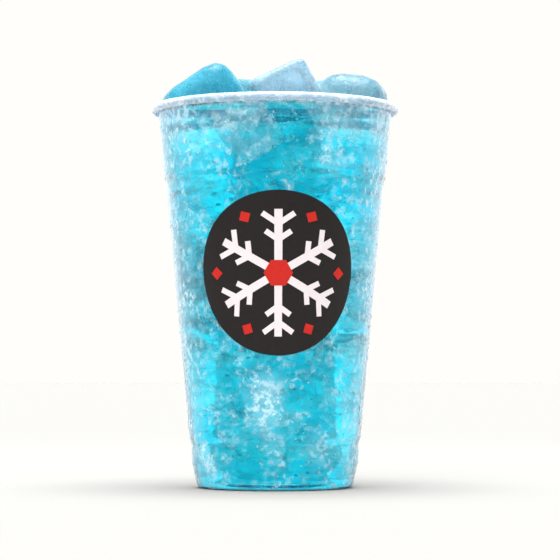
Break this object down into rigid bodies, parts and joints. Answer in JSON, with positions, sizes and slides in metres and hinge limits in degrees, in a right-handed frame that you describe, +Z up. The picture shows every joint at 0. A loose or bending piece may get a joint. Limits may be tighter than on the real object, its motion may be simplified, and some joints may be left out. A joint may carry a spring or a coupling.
{
  "type": "cup of iced energy drink",
  "caption": "Clear tapered cold cup with a rolled rim and a round print, filled with a bright blue iced drink, with lumps of ice heaped above the rim.",
  "frame": {"origin": "middle of the foot ring, on the surface that the cup stands on", "axes": "+Z up along the cup's axis, -Y towards the front, which carries the round print"},
  "size_m": [0.0984, 0.0984, 0.1681],
  "materials": {
    "clear_pet": "clear and glossy, misted outside with fine condensation",
    "blue_drink": "clear bright blue liquid",
    "ice": "wet, partly clouded ice",
    "print_black": "satin ink",
    "print_white": "satin ink",
    "print_red": "satin ink"
  },
  "bodies": {
    "root": {"cup": "clear_pet", "drink": "blue_drink", "print": "print_black", "ice_left": "ice", "ice_middle": "ice", "ice_right": "ice", "ice_centre": "ice", "ice_back_left": "ice", "ice_back_right": "ice", "ice_front_left": "ice", "ice_front_right": "ice", "ice_chip_right": "ice", "ice_chip_left": "ice", "ice_chip_back": "ice"}
  },
  "joints": []
}
